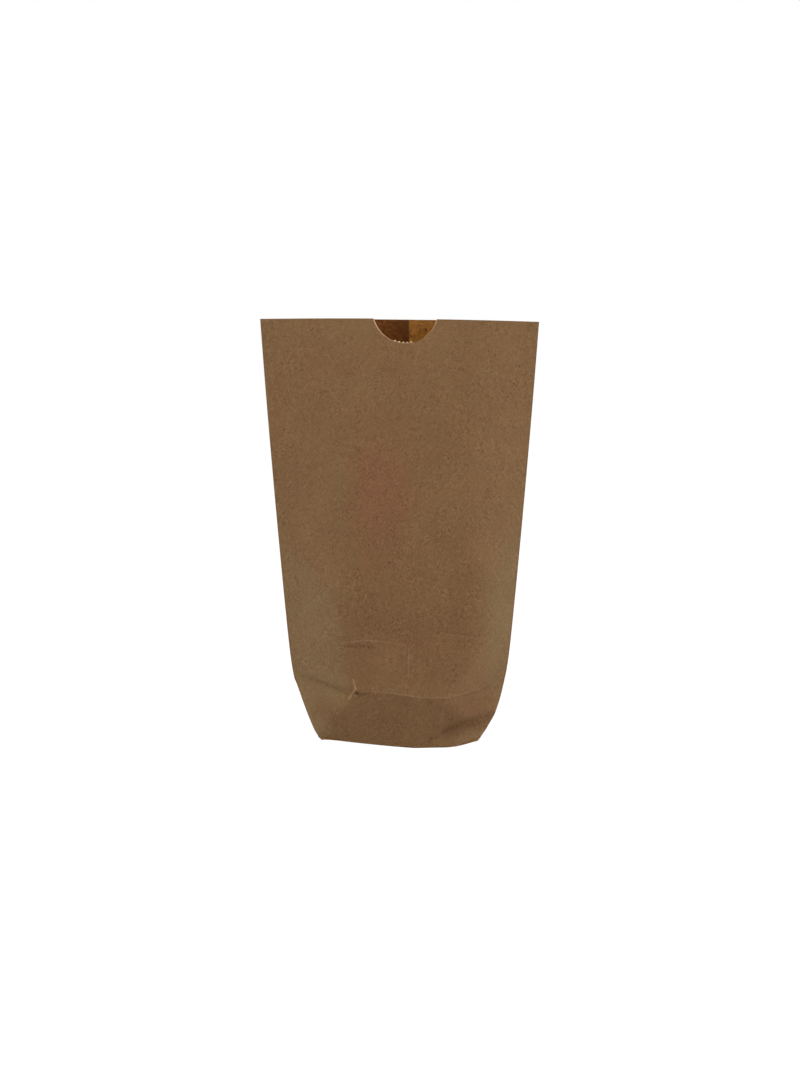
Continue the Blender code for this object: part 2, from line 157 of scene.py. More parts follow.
def folded_path(keys, softness, share):
    """The point at a share of a path's length.

    The path leaves the first key in the first edge's direction. At every later key the difference
    between the next edge's direction and the last one's is added, times the ramp of the distance
    past that key. Each key has its own softness.
    """
    edges = keys[..., 1:, :] - keys[..., :-1, :]
    lengths = np.linalg.norm(edges, axis=-1)
    directions = edges / lengths[..., None]
    ends = np.cumsum(lengths, axis=-1)
    distance = share * ends[..., -1]
    place = keys[..., 0, :] + directions[..., 0, :] * distance[..., None]
    for key in range(1, lengths.shape[-1]):
        turn = directions[..., key, :] - directions[..., key - 1, :]
        place += turn * ramp(distance - ends[..., key - 1], softness[..., key - 1])[..., None]
    return place


# %% [markdown]
# ## How deep the bag is at each height
#
# The section of a wall runs from one side fold over two ridges to the other side fold. Its length is
# the flat bag's width, whatever the height. So where the side folds and the ridges are known, there is
# only one distance at which the wall can stand out, and it follows from two right-angled triangles.


# %% The depth that the paper allows
DEPTH_ROUNDS = 4


def wall_depth(side, left, right, softness):
    """How far a wall stands out from its side folds.

    The two slopes and the panel between the ridges add up to the bag's width. A soft ridge cuts its
    corner by a sixth of its softness times the square of its turn, and the paper saved there lets the
    wall stand out a little further. The turn depends on the depth, so this takes a few rounds.
    """
    run_left, run_right = side + left, side - right
    saved = 0.0
    for _ in range(DEPTH_ROUNDS):
        slopes = BAG_WIDTH + saved - (right - left)
        slope_left = (slopes + (run_left**2 - run_right**2) / slopes) / 2
        depth = np.sqrt(slope_left**2 - run_left**2)
        turns = np.stack([np.arctan2(depth, run_left), np.arctan2(depth, run_right)], axis=-1)
        saved = (softness / 6 * turns**2).sum(axis=-1)
    return depth


third = BAG_WIDTH / 3
even_depth = wall_depth(shoulder_half, -third / 2, third / 2, np.zeros(2))
print("with even ridges a wall stands out", in_mm(even_depth), "mm at the side points")

# %% [markdown]
# ## The ridges
#
# On the front, the two ridges start from a pinch at the left and a kink at the right of the crossways
# crease. They spread until they pass the imprint that the folded bottom left in the paper, and then
# drift slowly towards the mouth. On the back nothing was pressed crossways, so its ridges stay soft.

# %% Where the ridges run
RIDGES_AT_CREASE = (-24.4 * MM, 25 * MM)
RIDGES_AT_IMPRINT = (-31.5 * MM, 44 * MM)
RIDGES_AT_RIM = (-20.5 * MM, 36 * MM)
BACK_RIDGE = 34 * MM
IMPRINT_SOFTNESS = 6 * MM
SOFTNESS_HEIGHTS = (0, half_depth, BASE_DEPTH, 2 * BASE_DEPTH)
LEFT_SOFTNESS = (9 * MM, 3 * MM, 5 * MM, 13 * MM)
RIGHT_SOFTNESS = (9 * MM, 4 * MM, 13 * MM, 13 * MM)
BACK_SOFTNESS = (5 * MM, 13 * MM, 13 * MM, 13 * MM)


def front_ridge(side, up_paper):
    """A ridge's distance from the middle: it spreads up to the imprint and then drifts to the rim."""
    at_crease, at_imprint, at_rim = RIDGES_AT_CREASE[side], RIDGES_AT_IMPRINT[side], RIDGES_AT_RIM[side]
    spreading = (at_imprint - at_crease) / half_depth
    drifting = (at_rim - at_imprint) / (BAG_HEIGHT - BASE_DEPTH)
    above_crease = np.clip(up_paper - half_depth, 0, None)
    above_imprint = ramp(up_paper - BASE_DEPTH, IMPRINT_SOFTNESS)
    return at_crease + spreading * above_crease + (drifting - spreading) * above_imprint


def softness_at(up_paper, left, right):
    """The softness of both ridges, each drawn straight between the values at four heights."""
    return np.stack([np.interp(up_paper, SOFTNESS_HEIGHTS, values) for values in (left, right)], axis=-1)


crease_softness = softness_at(half_depth, LEFT_SOFTNESS, RIGHT_SOFTNESS)
crease_depth = wall_depth(shoulder_half, *RIDGES_AT_CREASE, crease_softness)
print("where its ridges start, the front stands out", in_mm(crease_depth), "mm")

# %% [markdown]
# ## The side folds and the wall's height
#
# Above the side points the side folds spread a little towards the mouth, and the opened bottom pushes
# their lowest stretch out. Below the side points, everything runs straight to the bottom's corners.


# %% The side folds
def side_fold(up_paper):
    """A side fold's distance from the middle, and its height, from the side points to the rim."""
    up = capped((up_paper - half_depth) / side_fold_length)
    above = between(0, rim_height - shoulder_height, up)
    side = between(shoulder_half, rim_half, up) + SIDE_BELLY * 4 * up * (1 - up)
    side = side + SHOULDER_ROUNDING * (1 - np.exp(-above / SHOULDER_REACH)) * (1 - up)
    return side, shoulder_height + above


def wall_keys(up_paper, facing):
    """The four key points of a wall's section: side fold, ridge, ridge, side fold. Facing is -1 in front."""
    side, height = side_fold(up_paper)
    if facing < 0:
        left, right = front_ridge(0, up_paper), front_ridge(1, up_paper)
        values = LEFT_SOFTNESS, RIGHT_SOFTNESS
    else:
        left, right = -BACK_RIDGE, BACK_RIDGE
        values = BACK_SOFTNESS, BACK_SOFTNESS
    depth = facing * wall_depth(side, left, right, softness_at(np.maximum(up_paper, half_depth), *values))
    softness = softness_at(up_paper, *values)
    opened = capped(up_paper / half_depth)
    fold_half = facing * (FOLD_RADIUS + half_depth * (1 - opened))
    top = [
        point(side, 0, height) * (-1, 1, 1),
        point(left, depth, height),
        point(right, depth, height),
        point(side, 0, height),
    ]
    foot = [(x, facing * half_depth, 0) for x in (-base_half, -base_half, base_half, base_half)]
    keys = np.stack([between(np.array(low), high, opened[..., None]) for low, high in zip(foot, top)], -2)
    keys[..., (0, 3), 1] = fold_half[..., None]
    return keys, softness


# %% [markdown]
# ## The crossways crease, the bulging bottom and the rim
#
# The walk above gives flat facets and soft ridges. Broad movements are added to it: the bottom's long
# edges bulge out, the crossways crease is a little higher on the left than on the right, and the rim is
# highest left of the middle. The back was never creased at this height, so its bend is rounded, and
# the middle of its rim hangs a little lower than the front's, which hides it from the camera.

# %% Broad movements of the sheet
BASE_BULGE = 4.5 * MM
CREASE_TILT = 1.7 * MM
CREASE_TILT_CENTRE = 2 * MM
CREASE_TILT_REACH = 9 * MM
CREASE_TILT_FADE = 0.3
CREASE_REACH = 40 * MM
BACK_BEND = 16 * MM
RIM_RISE = 1.7 * MM
RIM_TOP = -33 * MM
RIM_REACH = 103 * MM
RIM_DEPTH = 60 * MM
BACK_RIM_DROP = 0.45 * MM
BACK_TURN = 0.27
EDGE_LIFT = 4.4 * MM
EDGE_LIFT_START = 8 * MM
EDGE_LIFT_DEPTH = 21 * MM
FLAT_HALF_LENGTH = 24 * MM


def bottom_lift(x, y):
    """How far the bottom is off the table: its ends curl up, and the front edge rises to the left."""
    past_flat = (abs(x) - FLAT_HALF_LENGTH) / (base_half - FLAT_HALF_LENGTH)
    ends = END_LIFT * capped(past_flat) ** 2
    along = capped((EDGE_LIFT_START - x) / (EDGE_LIFT_START + base_half))
    across = capped((EDGE_LIFT_DEPTH - half_depth - y) / EDGE_LIFT_DEPTH)
    return np.maximum(ends, EDGE_LIFT * along * across)


def broad_shape(place, up_paper, facing):
    """Adds the bulge, the crease's tilt, the back's rounded bend and the rim's rise to a wall."""
    x, y, z = np.moveaxis(place, -1, 0)
    opened = capped(up_paper / half_depth)
    above_crease = up_paper - half_depth
    y = y + facing * BASE_BULGE * capped(1 - (x / base_half) ** 2) * (1 - opened)
    if facing < 0:
        nearness = capped(1 - abs(x) / shoulder_half) ** CREASE_TILT_FADE
        tilt = CREASE_TILT * nearness * np.tanh((CREASE_TILT_CENTRE - x) / CREASE_TILT_REACH)
        z = z + tilt * np.minimum(opened, capped(1 - above_crease / CREASE_REACH))
    else:
        rounding = np.clip(BACK_BEND - abs(above_crease), 0, None) ** 2 / (4 * BACK_BEND)
        y = y - BACK_TURN * rounding * capped(1 - (x / shoulder_half) ** 2)
    rise = RIM_RISE * (1 - ((x - RIM_TOP) / RIM_REACH) ** 2)
    if facing > 0:
        rise = rise - BACK_RIM_DROP * (1 - (x / rim_half) ** 2)
    z = z + rise * capped((up_paper - BAG_HEIGHT + RIM_DEPTH) / RIM_DEPTH) ** 2
    return point(x, y, z)


# %% [markdown]
# ## Small creases and dents
#
# What makes the bag look handled is small: a pinch where the left ridge meets the crossways crease,
# faint lines pressed by the folded bottom, and a dent low on the right. A pinch or a line is a stroke
# between two places of the front wall, and the paper near it moves out or in by a bell curve of the
# distance. The dent is larger and has a form of its own, on both sides of a curved valley line.


# %% One stroke
def stroke(x, z, start, end, width, height):
    """A ridge or, with a negative height, a valley along a straight stroke, fading out at both ends."""
    start, end = np.array(start) * MM, np.array(end) * MM
    along = end - start
    length = np.hypot(*along)
    share = ((x - start[0]) * along[0] + (z - start[1]) * along[1]) / length**2
    near = capped(share)
    away = np.hypot(x - start[0] - near * along[0], z - start[1] - near * along[1])
    return height * MM * np.exp(-((away / (width * MM)) ** 2))


# %% The dent
DENT_TOP = (39 * MM, 10.2 * MM)
DENT_CURVE = 9.0
DENT_START = 15 * MM
DENT_RUN_IN = 11 * MM
DENT_RUN_OUT = 12 * MM
LOWEST_VALLEY = 0.5 * MM
FOLD_IN = 4.2 * MM
FOLD_IN_HEIGHT = 3.8 * MM
HOLLOW_START = 22 * MM
HOLLOW_SOFTNESS = 4 * MM
HOLLOW_SLOPE = 0.36
HOLLOW_DEEPEST = 5.8 * MM
DENT_SPREAD = 0.25


def smooth(share):
    """Nothing below 0 and all of it above 1, with a cubic between that starts and ends level."""
    share = capped(share)
    return share * share * (3 - 2 * share)


def dent(x, z):
    """The pushed in corner low on the right, over and under a valley line.

    The line is a parabola: it rises from the bottom's edge and levels out at the dent's top. Over the
    line the wall goes on as steeply as it came from the crossways crease, so it is hollow compared
    with a straight facet, and just above the line it folds in further, as a bell curve of the height.
    Under the line a flat facet comes back out to the bottom's edge. The dent runs out before the side
    point.
    """
    line_height = np.maximum(DENT_TOP[1] - DENT_CURVE * (x - DENT_TOP[0]) ** 2, LOWEST_VALLEY)
    hollow = np.minimum(HOLLOW_SLOPE * ramp(x - HOLLOW_START, HOLLOW_SOFTNESS), HOLLOW_DEEPEST)
    fold_in = FOLD_IN * smooth((x - DENT_START) / DENT_RUN_IN)
    on_line = np.maximum(z, line_height)
    over = hollow * capped(1 - on_line / shoulder_height)
    over = over + fold_in * np.exp(-(((on_line - line_height) / FOLD_IN_HEIGHT) ** 2))
    return -over * smooth(z / line_height) * smooth((shoulder_half - x) / DENT_RUN_OUT)


# %% Strokes on the front wall
# Start and end across and up the front, width, height out of the wall, all in millimetres.
STROKES = (
    (-24.6, 38.5, -23.4, 33.5, 0.9, 0.45),
    (-23.4, 33.5, -26.6, 28.8, 0.8, 0.55),
    (-23, 31, -22.2, 30.8, 0.8, -1.5),
    (-20.5, 31.4, -15.5, 31.9, 1, -0.45),
    (-48, 32.4, -26, 31, 1.5, -1.2),
    (-50, 35.6, -28, 34.2, 2.4, 0.5),
    (24.3, 29, 21.8, 14.5, 1.3, 0.6),
    (-30, 24, -44, 15, 6, 1.2),
    (-27.5, 55.2, -16.5, 54.8, 0.8, -0.45),
    (-24.5, 57.8, -14.5, 57.6, 1.1, 0.35),
    (-8, 55.6, 1.5, 55, 0.8, 0.12),
    (22, 61.8, 40, 59.6, 1, 0.2),
    (4.8, 41, 4.8, 53, 0.5, 0.12),
    (-3.4, 43.2, 4.6, 46.6, 0.6, 0.1),
    (-22.4, 9.6, -21.6, 6, 0.5, 0.12),
    (-43, 226, -37, 217.5, 1.6, 0.3),
    (-37, 217.5, -29.5, 224.5, 1.4, 0.28),
)


def front_details(place):
    """Moves the front wall's points out or in by the strokes and the dent.

    Paper that is pushed in at the corner also spreads sideways, by a share of the push.
    """
    x, y, z = np.moveaxis(place, -1, 0)
    out = dent(x, z)
    spread = DENT_SPREAD * -out * smooth((x - DENT_TOP[0]) / DENT_RUN_OUT)
    for x1, z1, x2, z2, width, height in STROKES:
        out = out + stroke(x, z, (x1, z1), (x2, z2), width, height)
    return point(x + spread, y - out, z)


print("the front has", len(STROKES), "strokes and one dent")

# %% [markdown]
# ## Paper is never quite flat
#
# Damp and handling leave slow waves in a sheet. A few cosines with unlike directions and lengths, fixed
# by a seed, give the same waves each time, and they fade out at the folds, which hold the paper straight.

# %% Slow waves
WAVE_SEED = 5
WAVE_HEIGHT = 0.16 * MM
WAVE_COUNT = 9
WAVE_LENGTHS = (26 * MM, 80 * MM)
HELD_BY_CREASE = 12 * MM
waves = np.random.default_rng(WAVE_SEED)
wave_turns = waves.uniform(0, np.pi, WAVE_COUNT)
wave_lengths = waves.uniform(*WAVE_LENGTHS, WAVE_COUNT)
wave_starts = waves.uniform(0, 2 * np.pi, WAVE_COUNT)


def slow_waves(across, up_paper, facing):
    """The sum of cosines along several directions, as a distance out of the sheet."""
    s = across * BAG_WIDTH * facing
    total = 0
    for turn, length, start in zip(wave_turns, wave_lengths, wave_starts):
        along = s * np.cos(turn) + up_paper * np.sin(turn)
        total = total + np.cos(2 * np.pi * along / length + start)
    held = capped(np.sin(np.pi * capped(across))) ** 0.5
    free = capped(abs(up_paper - half_depth) / HELD_BY_CREASE)
    return WAVE_HEIGHT * total * held * free


print("the waves are", in_mm(min(wave_lengths)), "to", in_mm(max(wave_lengths)), "mm long")

# %% [markdown]
# ## The thumb notch
#
# The notch is die cut through the front wall only, with a toothed blade whose teeth show along its
# lowest stretch. A Boolean would leave ragged triangles along the rim. Instead the columns of the grid
# fan out: at the rim each of them ends on the notch's arc, so the cut is a clean row of edges.

# %% The notch's outline
NOTCH_DIAMETER = 35 * MM
NOTCH_DEPTH = 12.4 * MM
NOTCH_OFFSET = 3 * MM
TOOTH_PITCH = 2.2 * MM
TOOTH_HEIGHT = 0.8 * MM
TOOTH_COUNT = 5
TEETH_OFFSET = -1.3 * MM
TOOTH_STEPS = 8
ARC_STEPS = 26

notch_radius = NOTCH_DIAMETER / 2
notch_centre = BAG_WIDTH / 2 + NOTCH_OFFSET
centre_above_rim = notch_radius - NOTCH_DEPTH
arc_end = np.arccos(centre_above_rim / notch_radius)
teeth_start = (TEETH_OFFSET - TOOTH_COUNT * TOOTH_PITCH / 2) / notch_radius
teeth_end = teeth_start + TOOTH_COUNT * TOOTH_PITCH / notch_radius
notch_angles = np.concatenate([
    np.linspace(-arc_end, teeth_start, ARC_STEPS, endpoint=False),
    np.linspace(teeth_start, teeth_end, TOOTH_COUNT * TOOTH_STEPS, endpoint=False),
    np.linspace(teeth_end, arc_end, ARC_STEPS + 1),
])


def notch_edge(angle):
    """Across and up the sheet for an angle along the notch, with a cosine tooth where the teeth are."""
    phase = (angle - teeth_start) / (teeth_end - teeth_start) * TOOTH_COUNT
    toothed = (angle > teeth_start) & (angle < teeth_end)
    radius = notch_radius - TOOTH_HEIGHT * np.where(toothed, 0.5 - 0.5 * np.cos(2 * np.pi * phase), 0)
    return notch_centre + radius * np.sin(angle), BAG_HEIGHT + centre_above_rim - radius * np.cos(angle)


print("the notch is", in_mm(2 * notch_radius * np.sin(arc_end)), "mm wide at the rim")

# %% [markdown]
# ## The grid on the sheet
#
# The grid is as fine as what it has to show: close together at the crease, the pinch and the seam, wide
# apart on the plain upper wall and the back. Columns run from side fold to side fold, rows from the
# bottom fold to the rim, and in the highest rows of the front the columns bend towards the notch.


# %% Columns and rows
def spaced(*stops):
    """Positions from stop to stop, at about the spacing that follows each stop, all in millimetres."""
    runs = []
    for start, spacing, end in zip(stops[0::2], stops[1::2], stops[2::2]):
        count = max(1, round((end - start) / spacing))
        runs.append(np.linspace(start, end, count, endpoint=False))
    return np.concatenate([*runs, [stops[-1]]]) * MM


LEFT_COLUMNS = (0, 0.5, 2, 1.5, 40, 0.55, 57, 1.1)
RIGHT_COLUMNS = (1.1, 97, 0.9, 128, 1.5, 148, 0.5, 150)
BACK_COLUMNS = (0, 0.5, 2, 3, 62, 1, 82, 3, 148, 0.5, 150)
ROWS_UP = (0, 0.35, 0.7, 0.9, 24, 0.6, 28.3, 0.35, 29.7, 0.8, 40, 1.5, 64, 3.1, 200)
NOTCH_ZONE = 26 * MM
ZONE_BELOW_RIM = (1, 0.9, 0.8, 0.7, 0.6, 0.5, 0.41, 0.33, 0.26, 0.2, 0.15, 0.11, 0.08, 0.055, 0.035,
                  0.02, 0.009, 0)
notch_foot = notch_centre + notch_radius * np.sin(arc_end) * notch_angles / arc_end
left_of_notch = spaced(*LEFT_COLUMNS, notch_foot[0] / MM)
right_of_notch = spaced(notch_foot[-1] / MM, *RIGHT_COLUMNS)
front_across = np.concatenate([left_of_notch[:-1], notch_foot, right_of_notch[1:]])
notch_columns = np.arange(len(left_of_notch) - 1, len(left_of_notch) - 1 + len(notch_foot))
back_across = spaced(*BACK_COLUMNS)
wall_rows = spaced(*ROWS_UP)
zone_rows = 1 - np.array(ZONE_BELOW_RIM)
print(len(front_across), "front columns,", len(back_across), "back columns,",
      len(wall_rows) + len(zone_rows) - 1, "rows")

# %% [markdown]
# ## Folding the sheet
#
# The sheet starts at its inner glued edge on the back, goes round the left fold, across the front,
# round the right fold, and ends on the back again, over its own start. That overlap is the real
# bag's seam, and here it is real too: two plies lie on each other.


# %% Fold a wall
def fold_wall(across, up_paper, facing):
    """The wall's points in space for shares across the wall and heights up the paper."""
    keys, softness = wall_keys(up_paper, facing)
    place = folded_path(keys, softness, across)
    place = broad_shape(place, up_paper, facing)
    place[..., 1] += facing * slow_waves(across, up_paper, facing)
    if facing < 0:
        place = front_details(place)
    return place


SIDE_BULGES = (0.5 * MM, 1.7 * MM)
SIDE_BULGE_START = 30 * MM
SIDE_BULGE_REACH = 18 * MM


def stand(place):
    """Bends the tube's lowest stretch up where the bottom is off the table, and bulges its sides.

    The 45 degree creases aren't quite straight: half way down they stand out, most of all at the right.
    """
    x, y, z = np.moveaxis(place, -1, 0)
    lift = bottom_lift(x, y) * capped(1 - z / shoulder_height)
    bulge = np.where(x < 0, -SIDE_BULGES[0], SIDE_BULGES[1])
    bulge = bulge * smooth((abs(x) - SIDE_BULGE_START) / SIDE_BULGE_REACH)
    bulge = bulge * np.sin(np.pi * capped(z / shoulder_height))
    return point(x + bulge, y, z + lift)


# %% The front wall with its notch
low_edge = BAG_HEIGHT - NOTCH_ZONE
row_heights = np.concatenate([wall_rows[:-1], low_edge + zone_rows * NOTCH_ZONE])
rows = len(row_heights)
front_s = np.repeat(front_across[None], rows, axis=0)
front_h = np.repeat(row_heights[:, None], len(front_across), axis=1)
edge_s, edge_h = notch_edge(notch_angles)
zone = slice(len(wall_rows) - 1, rows)
front_s[zone, notch_columns] = between(notch_foot, edge_s, zone_rows[:, None])
front_h[zone, notch_columns] = between(low_edge, edge_h, zone_rows[:, None])
front = fold_wall(front_s / BAG_WIDTH, front_h, -1)
print("the front wall stands out", in_mm(-front[..., 1].min()), "mm")

# %% The back wall, in two parts that overlap at the seam
SEAM_GAP = 0.02 * MM
SEAM_FADE = 12 * MM
inner_edge = BAG_WIDTH / 2 + SEAM_INNER_EDGE
outer_edge = inner_edge - SEAM_OVERLAP
still_closed = np.clip(half_depth - row_heights, 0, None)[:, None]
opened_width = BAG_WIDTH - 2 * still_closed


def back_part(fold, edge):
    """The back wall from a side fold to a seam edge: distances across the sheet, and points.

    Below the side points a row is only the stretch between the two 45 degree creases. The seam's edge
    stays straight on the sheet, so its share of such a row changes from row to row.
    """
    between_them = (back_across > min(fold, edge)) & (back_across < max(fold, edge))
    s = np.sort([fold, edge, *back_across[between_them]])[None, ::-1]
    edge_share = (edge - still_closed) / opened_width
    share = between(fold / BAG_WIDTH, edge_share, (s - fold) / (edge - fold))
    rows_up = np.repeat(row_heights[:, None], s.shape[1], axis=1)
    return still_closed + share * opened_width, fold_wall(share, rows_up, 1)


inner_s, inner_ply = back_part(0, inner_edge)
outer_s, outer_ply = back_part(BAG_WIDTH, outer_edge)
sunk = (inner_s - outer_edge + SEAM_FADE) / SEAM_FADE
inner_ply[..., 1] -= (PAPER + SEAM_GAP) * smooth(sunk)
print("the seam laps", in_mm(inner_edge - outer_edge), "mm")

# %% The sides between the walls
SIDE_COLUMNS = 10
CENTRE_RIDGE = 0.5 * MM


def side_strip(start, end, outward):
    """The narrow turn of a side fold, which opens below the side point into a flat triangle.

    It runs straight from one wall to the other, and stands out by the fold's radius times a half
    ellipse. The old fold line leaves a low ridge down the triangle's middle, which is highest where
    the triangle is as wide as the bottom's half depth.
    """
    share = np.linspace(0, 1, SIDE_COLUMNS + 1)[None, 1:-1, None]
    place = between(start[:, None], end[:, None], share)
    width = np.linalg.norm(end - start, axis=-1)[:, None]
    out = FOLD_RADIUS * np.sqrt(1 - (2 * share[..., 0] - 1) ** 2)
    middle = CENTRE_RIDGE * (1 - abs(2 * share[..., 0] - 1)) ** 2
    out = out + middle * capped(width / half_depth) * capped(2 - width / half_depth) * 2
    place[..., 0] += outward * out
    return place


left_side = side_strip(inner_ply[:, -1], front[:, 0], -1)
right_side = side_strip(front[:, -1], outer_ply[:, 0], 1)
tube = np.concatenate([inner_ply, left_side, front, right_side, outer_ply], axis=1)
tube = stand(tube)
print("the tube's grid is", tube.shape[0], "rows of", tube.shape[1])

# %% [markdown]
# ## The cross bottom
#
# Four stretches of the sheet close the bottom. The two side tucks are folded in first. The back flap
# folds over them, and the front flap over everything, glued where they overlap. Their ends are cut off
# at 45 degrees by the folds. Each is a small grid that starts on its own fold line and lies one ply
# above the next, so that their edges show as real steps under the bag.

# %% Flaps and tucks
FLAP_ROWS = 22
TUCK_COLUMNS = 24
STRAIGHTENING = 3
LEVEL_REACH = 1 * MM
PLY = PAPER + SEAM_GAP


def bottom_sheet(fold_line, inward, level, count):
    """A flap or a tuck: rows of points that leave its fold line and go inward.

    The fold line is curved, and the rows have straightened by a third of the depth. A flap narrows by
    as much as it goes inward, at both of its ends. Within a millimetre of the fold the sheet rises to
    its own level over the ply below.
    """
    out = np.linspace(0, flap_depth, count + 1)[:, None]
    x, y = fold_line[:, 0], fold_line[:, 1]
    if inward[1]:
        widest = abs(x).max()
        x = x * (widest - out) / widest
        y = between(y, inward[1] * (out - half_depth), capped(out / flap_depth * STRAIGHTENING))
    else:
        x = between(x, inward[0] * (out - base_half), capped(out / flap_depth * STRAIGHTENING))
        y = np.repeat(y[None], count + 1, axis=0)
    z = bottom_lift(x, y) + level * capped(out / LEVEL_REACH)
    return point(x, y, z)


foot = tube[0]
first_front = inner_ply.shape[1] + SIDE_COLUMNS - 1
last_front = first_front + front.shape[1]
front_foot = foot[first_front:last_front]
right_foot = foot[last_front - 1 : last_front + SIDE_COLUMNS]
left_foot = foot[inner_ply.shape[1] - 1 : first_front + 1]
past_seam = np.flatnonzero(inner_s[0] < outer_edge)
back_foot = np.concatenate([foot[last_front + SIDE_COLUMNS - 1 :], foot[past_seam]])

front_flap = bottom_sheet(front_foot, (0, 1), 0, FLAP_ROWS)
back_flap = bottom_sheet(back_foot, (0, -1), PLY, FLAP_ROWS)
right_tuck = bottom_sheet(right_foot, (-1, 0), 2 * PLY, TUCK_COLUMNS)
left_tuck = bottom_sheet(left_foot, (1, 0), 2 * PLY, TUCK_COLUMNS)
print("the flaps are", in_mm(flap_depth), "mm deep, the tucks stop at", in_mm(base_half - flap_depth), "mm")

# %% [markdown]
# ## From grids to one mesh
#
# A grid becomes faces by joining each point with its neighbours in the next column and row. All the
# corner numbers come from one array sum. The tube's faces look outwards, and the bottom's look down,
# which is the other way round from its grids' order, so those faces are turned.


# %% Build the mesh
def grid_faces(rows, columns, first, turned):
    """The corner numbers of a grid's faces, anticlockwise when seen from outside."""
    low = first + np.arange(columns - 1)[None] + columns * np.arange(rows - 1)[:, None]
    corners = [low, low + 1, low + 1 + columns, low + columns]
    if turned:
        corners = corners[::-1]
    return np.stack(corners, axis=-1).reshape(-1, 4)


def mesh_from_grids(name, grids):
    """One mesh of several grids, each given as its points and whether its faces are turned."""
    verts, faces, first = [], [], 0
    for grid, turned in grids:
        verts.append(grid.reshape(-1, 3))
        faces.append(grid_faces(grid.shape[0], grid.shape[1], first, turned))
        first += grid.shape[0] * grid.shape[1]
    verts, faces = np.concatenate(verts), np.concatenate(faces)
    mesh = bpy.data.meshes.new(name)
    mesh.from_pydata(verts, [], faces)
    mesh.validate()
    return mesh


grids = [(tube, False), (front_flap, True), (back_flap, True), (right_tuck, True), (left_tuck, True)]
middle_depth = (tube[..., 1].min() + tube[..., 1].max()) / 2
for grid, _ in grids:
    grid[..., 1] -= middle_depth
bag_mesh = mesh_from_grids("paper_bag", grids)
bag = bpy.data.objects.new("paper_bag", bag_mesh)
bpy.context.scene.collection.objects.link(bag)
print("the sheet has", len(bag_mesh.vertices), "points and", len(bag_mesh.polygons), "faces")

# %% [markdown]
# ## The sheet's own map
#
# The seam's lap is a straight strip of the flat sheet, and the inside's material has to find it. A UV
# map holds each point's place on the sheet: across from the left side fold, round the whole tube, and up
# from the bottom fold, with one unit for every ten centimetres. The flaps and tucks carry on below the
# bottom fold.

# %% Lay the sheet's places into a UV map
MAP_UNIT = 0.1
left_turn = np.linspace(-1, 1, SIDE_COLUMNS + 1)[None, 1:-1] * (still_closed + FOLD_RADIUS)
front_on_sheet = still_closed + front_s / BAG_WIDTH * opened_width
sheet_across = np.concatenate([
    -inner_s, left_turn, front_on_sheet, BAG_WIDTH + left_turn, 2 * BAG_WIDTH - outer_s,
], axis=1)
sheet_up = np.repeat(row_heights[:, None], tube.shape[1], axis=1)
sheet_up[:, first_front:last_front] = front_h
sheet_maps = [np.stack([sheet_across, sheet_up], axis=-1)]
for grid, _ in grids[1:]:
    fold_out = np.linspace(0, flap_depth, grid.shape[0])[:, None]
    across_fold = grid[..., 0] if grid.shape[1] > SIDE_COLUMNS + 1 else grid[..., 1]
    sheet_maps.append(np.stack([across_fold + BAG_WIDTH / 2, -fold_out + 0 * across_fold], axis=-1))

sheet_place = np.concatenate([part.reshape(-1, 2) for part in sheet_maps]) / MAP_UNIT
corner_verts = np.zeros(len(bag_mesh.loops), dtype=np.int32)
bag_mesh.loops.foreach_get("vertex_index", corner_verts)
sheet_layer = bag_mesh.uv_layers.new(name="sheet")
sheet_layer.data.foreach_set("uv", sheet_place[corner_verts].astype(np.float32).ravel())
print("the map runs from", sheet_place.min(axis=0).round(2), "to", sheet_place.max(axis=0).round(2))

# %% [markdown]
# ## Thickness
#
# Solidify gives the sheet its 0.11 mm, inwards, because the grid is the bag's outer face. It also hands
# the inner face and the cut edges their own materials: light reaches the inner face through the paper,
# and a cut edge shows pale broken fibres. A turn of more than about 30 degrees is shaded as sharp.

# %% Give the sheet its thickness
SHARP_FOLD = np.radians(32)
thickness = bag.modifiers.new("thickness", "SOLIDIFY")
thickness.thickness = PAPER
thickness.offset = -1
thickness.use_even_offset = False
thickness.use_quality_normals = True
thickness.material_offset = 1
thickness.material_offset_rim = 2
bag_mesh.shade_smooth()
bag_mesh.set_sharp_from_angle(angle=SHARP_FOLD)
depsgraph = bpy.context.evaluated_depsgraph_get()
solid = bag.evaluated_get(depsgraph).to_mesh()
solid.calc_loop_triangles()
print("with its thickness the bag has", len(solid.loop_triangles), "triangles")
bag.evaluated_get(depsgraph).to_mesh_clear()

# %% [markdown]
# ## Node helpers
#
# Materials are wired in code. One helper makes a node and fills its inputs, where a value may also be
# another node's output. The others are built on it: arithmetic, vectors, a range carried to another
# range, a mix of colours, and node groups, which are parts of a material with named sockets.


# %% Helpers for node trees
def node(tree, kind, inputs, **settings):
    """A new shader node with its settings, and with inputs that are values or other nodes' outputs."""
    made = tree.nodes.new("ShaderNode" + kind)
    for name, value in settings.items():
        setattr(made, name, value)
    for name, value in inputs.items():
        if isinstance(value, bpy.types.NodeSocket):
            tree.links.new(value, made.inputs[name])
        else:
            made.inputs[name].default_value = value
    return made


def maths(tree, operation, *values, clamp=False):
    """A Math node's output."""
    inputs = dict(enumerate(values))
    return node(tree, "Math", inputs, operation=operation, use_clamp=clamp).outputs[0]


def vector_maths(tree, operation, *values):
    """A Vector Math node's vector, or its number where the operation measures something."""
    made = node(tree, "VectorMath", dict(enumerate(values)), operation=operation)
    return made.outputs["Value" if operation in ("DOT_PRODUCT", "DISTANCE", "LENGTH") else "Vector"]


def scaled(tree, vector, factor):
    """A vector times a number."""
    inputs = {"Vector": vector, "Scale": factor}
    return node(tree, "VectorMath", inputs, operation="SCALE").outputs[0]


